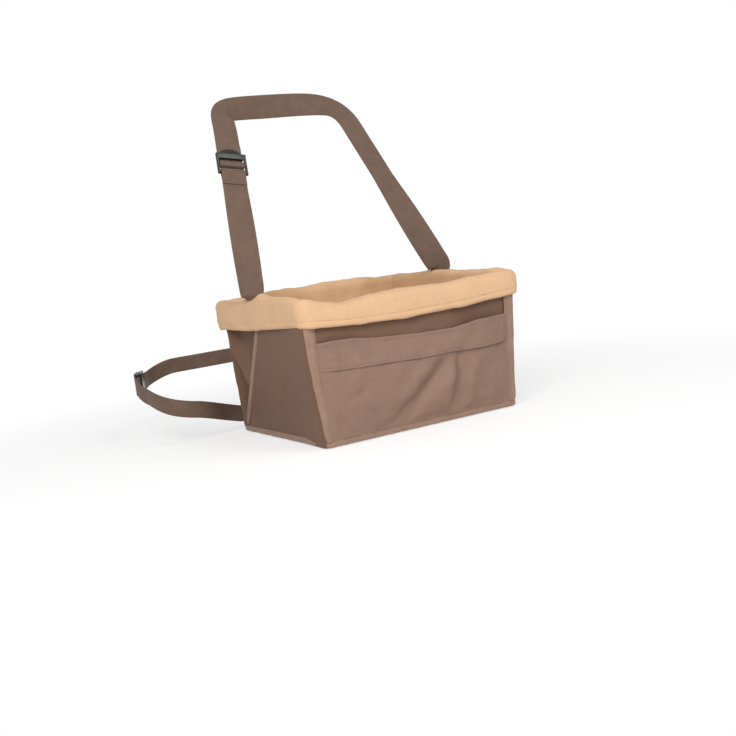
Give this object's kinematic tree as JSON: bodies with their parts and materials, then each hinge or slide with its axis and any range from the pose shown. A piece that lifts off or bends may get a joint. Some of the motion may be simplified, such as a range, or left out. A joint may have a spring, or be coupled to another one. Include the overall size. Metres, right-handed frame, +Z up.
{
  "type": "dog car seat",
  "caption": "Hanging booster basket for a small dog: stiffened fabric tub, fleece liner folded over the rim, webbing loop for the headrest posts and a buckled waist strap.",
  "frame": {"origin": "front face of the webbing loop's run behind the headrest posts, at its middle; the tub's base lies 0.500 m below it and the tub's back face 0.0743 m in front of it", "axes": "+Z up along the tub's walls, +Y towards the seat back and the headrest posts, +X to the right as seen from the front"},
  "size_m": [0.557, 0.533, 0.519],
  "materials": {
    "shell_fabric": "woven taupe polyester with a slight sheen",
    "stiffener": "plain sheet stiffener",
    "fleece": "short-pile tan fleece",
    "webbing": "ribbed brown webbing",
    "black_plastic": "moulded, fine texture",
    "steel": "welded wire"
  },
  "bodies": {
    "tub": {"front_panel": "shell_fabric", "back_panel": "shell_fabric", "base_panel": "shell_fabric", "side_panel_left": "shell_fabric", "side_panel_right": "shell_fabric", "rear_gusset_left": "shell_fabric", "rear_gusset_right": "shell_fabric", "front_board": "stiffener", "back_board": "stiffener", "side_board_left": "stiffener", "side_board_right": "stiffener", "base_board": "stiffener", "front_welt_left": "shell_fabric", "front_welt_right": "shell_fabric", "side_welt_left": "shell_fabric", "side_welt_right": "shell_fabric", "base_welt_left": "shell_fabric", "base_welt_right": "shell_fabric", "base_welt_front": "shell_fabric", "front_pocket": "shell_fabric", "pocket_hem": "shell_fabric", "liner_front": "fleece", "liner_back": "fleece", "liner_left": "fleece", "liner_right": "fleece", "liner_floor": "fleece", "cuff_left": "fleece", "cuff_front": "fleece", "cuff_right": "fleece", "cuff_back": "fleece", "shoulder_strap_left": "webbing", "headrest_strap": "webbing", "waist_strap_left": "webbing", "waist_strap_right": "webbing", "buckle_socket": "black_plastic", "ring_tab": "webbing"},
    "lock": {"ladder_lock": "black_plastic", "strap_bight": "webbing"},
    "plug": {"buckle_plug": "black_plastic", "waist_strap_tail": "webbing"},
    "arm_upper": {"latch_arm_upper": "black_plastic"},
    "arm_lower": {"latch_arm_lower": "black_plastic"},
    "ring": {"tether_ring": "steel"}
  },
  "joints": [
    {"name": "buckle_release", "type": "slide", "parent": "tub", "child": "plug", "axis": [0.4226, 0.9063, 0], "range_m": [0, 0.03], "deforming": ["latch_arm_upper", "latch_arm_lower", "waist_strap_tail"]},
    {"name": "latch_squeeze_upper", "type": "hinge", "parent": "plug", "child": "arm_upper", "pos_m": [-0.2511, 0.07395, -0.40387], "axis": [0.9063, -0.4226, 0], "range_deg": [0, 8], "stiffness_Nm_per_rad": 0.05},
    {"name": "latch_squeeze_lower", "type": "hinge", "parent": "plug", "child": "arm_lower", "pos_m": [-0.2511, 0.07395, -0.42267], "axis": [0.9063, -0.4226, 0], "range_deg": [-8, 0], "stiffness_Nm_per_rad": 0.05},
    {"name": "lock_tilt", "type": "hinge", "parent": "tub", "child": "lock", "pos_m": [-0.11316, -0.0993, -0.10788], "axis": [0.9776, -0.1107, -0.1792], "range_deg": [0, 25]},
    {"name": "ring_swing", "type": "hinge", "parent": "tub", "child": "ring", "pos_m": [0, -0.0878, -0.372], "axis": [-1, 0, 0], "range_deg": [0, 150]}
  ],
  "couplings": [
    {"joint": "latch_squeeze_lower", "follows": "latch_squeeze_upper", "ratio": -1}
  ]
}
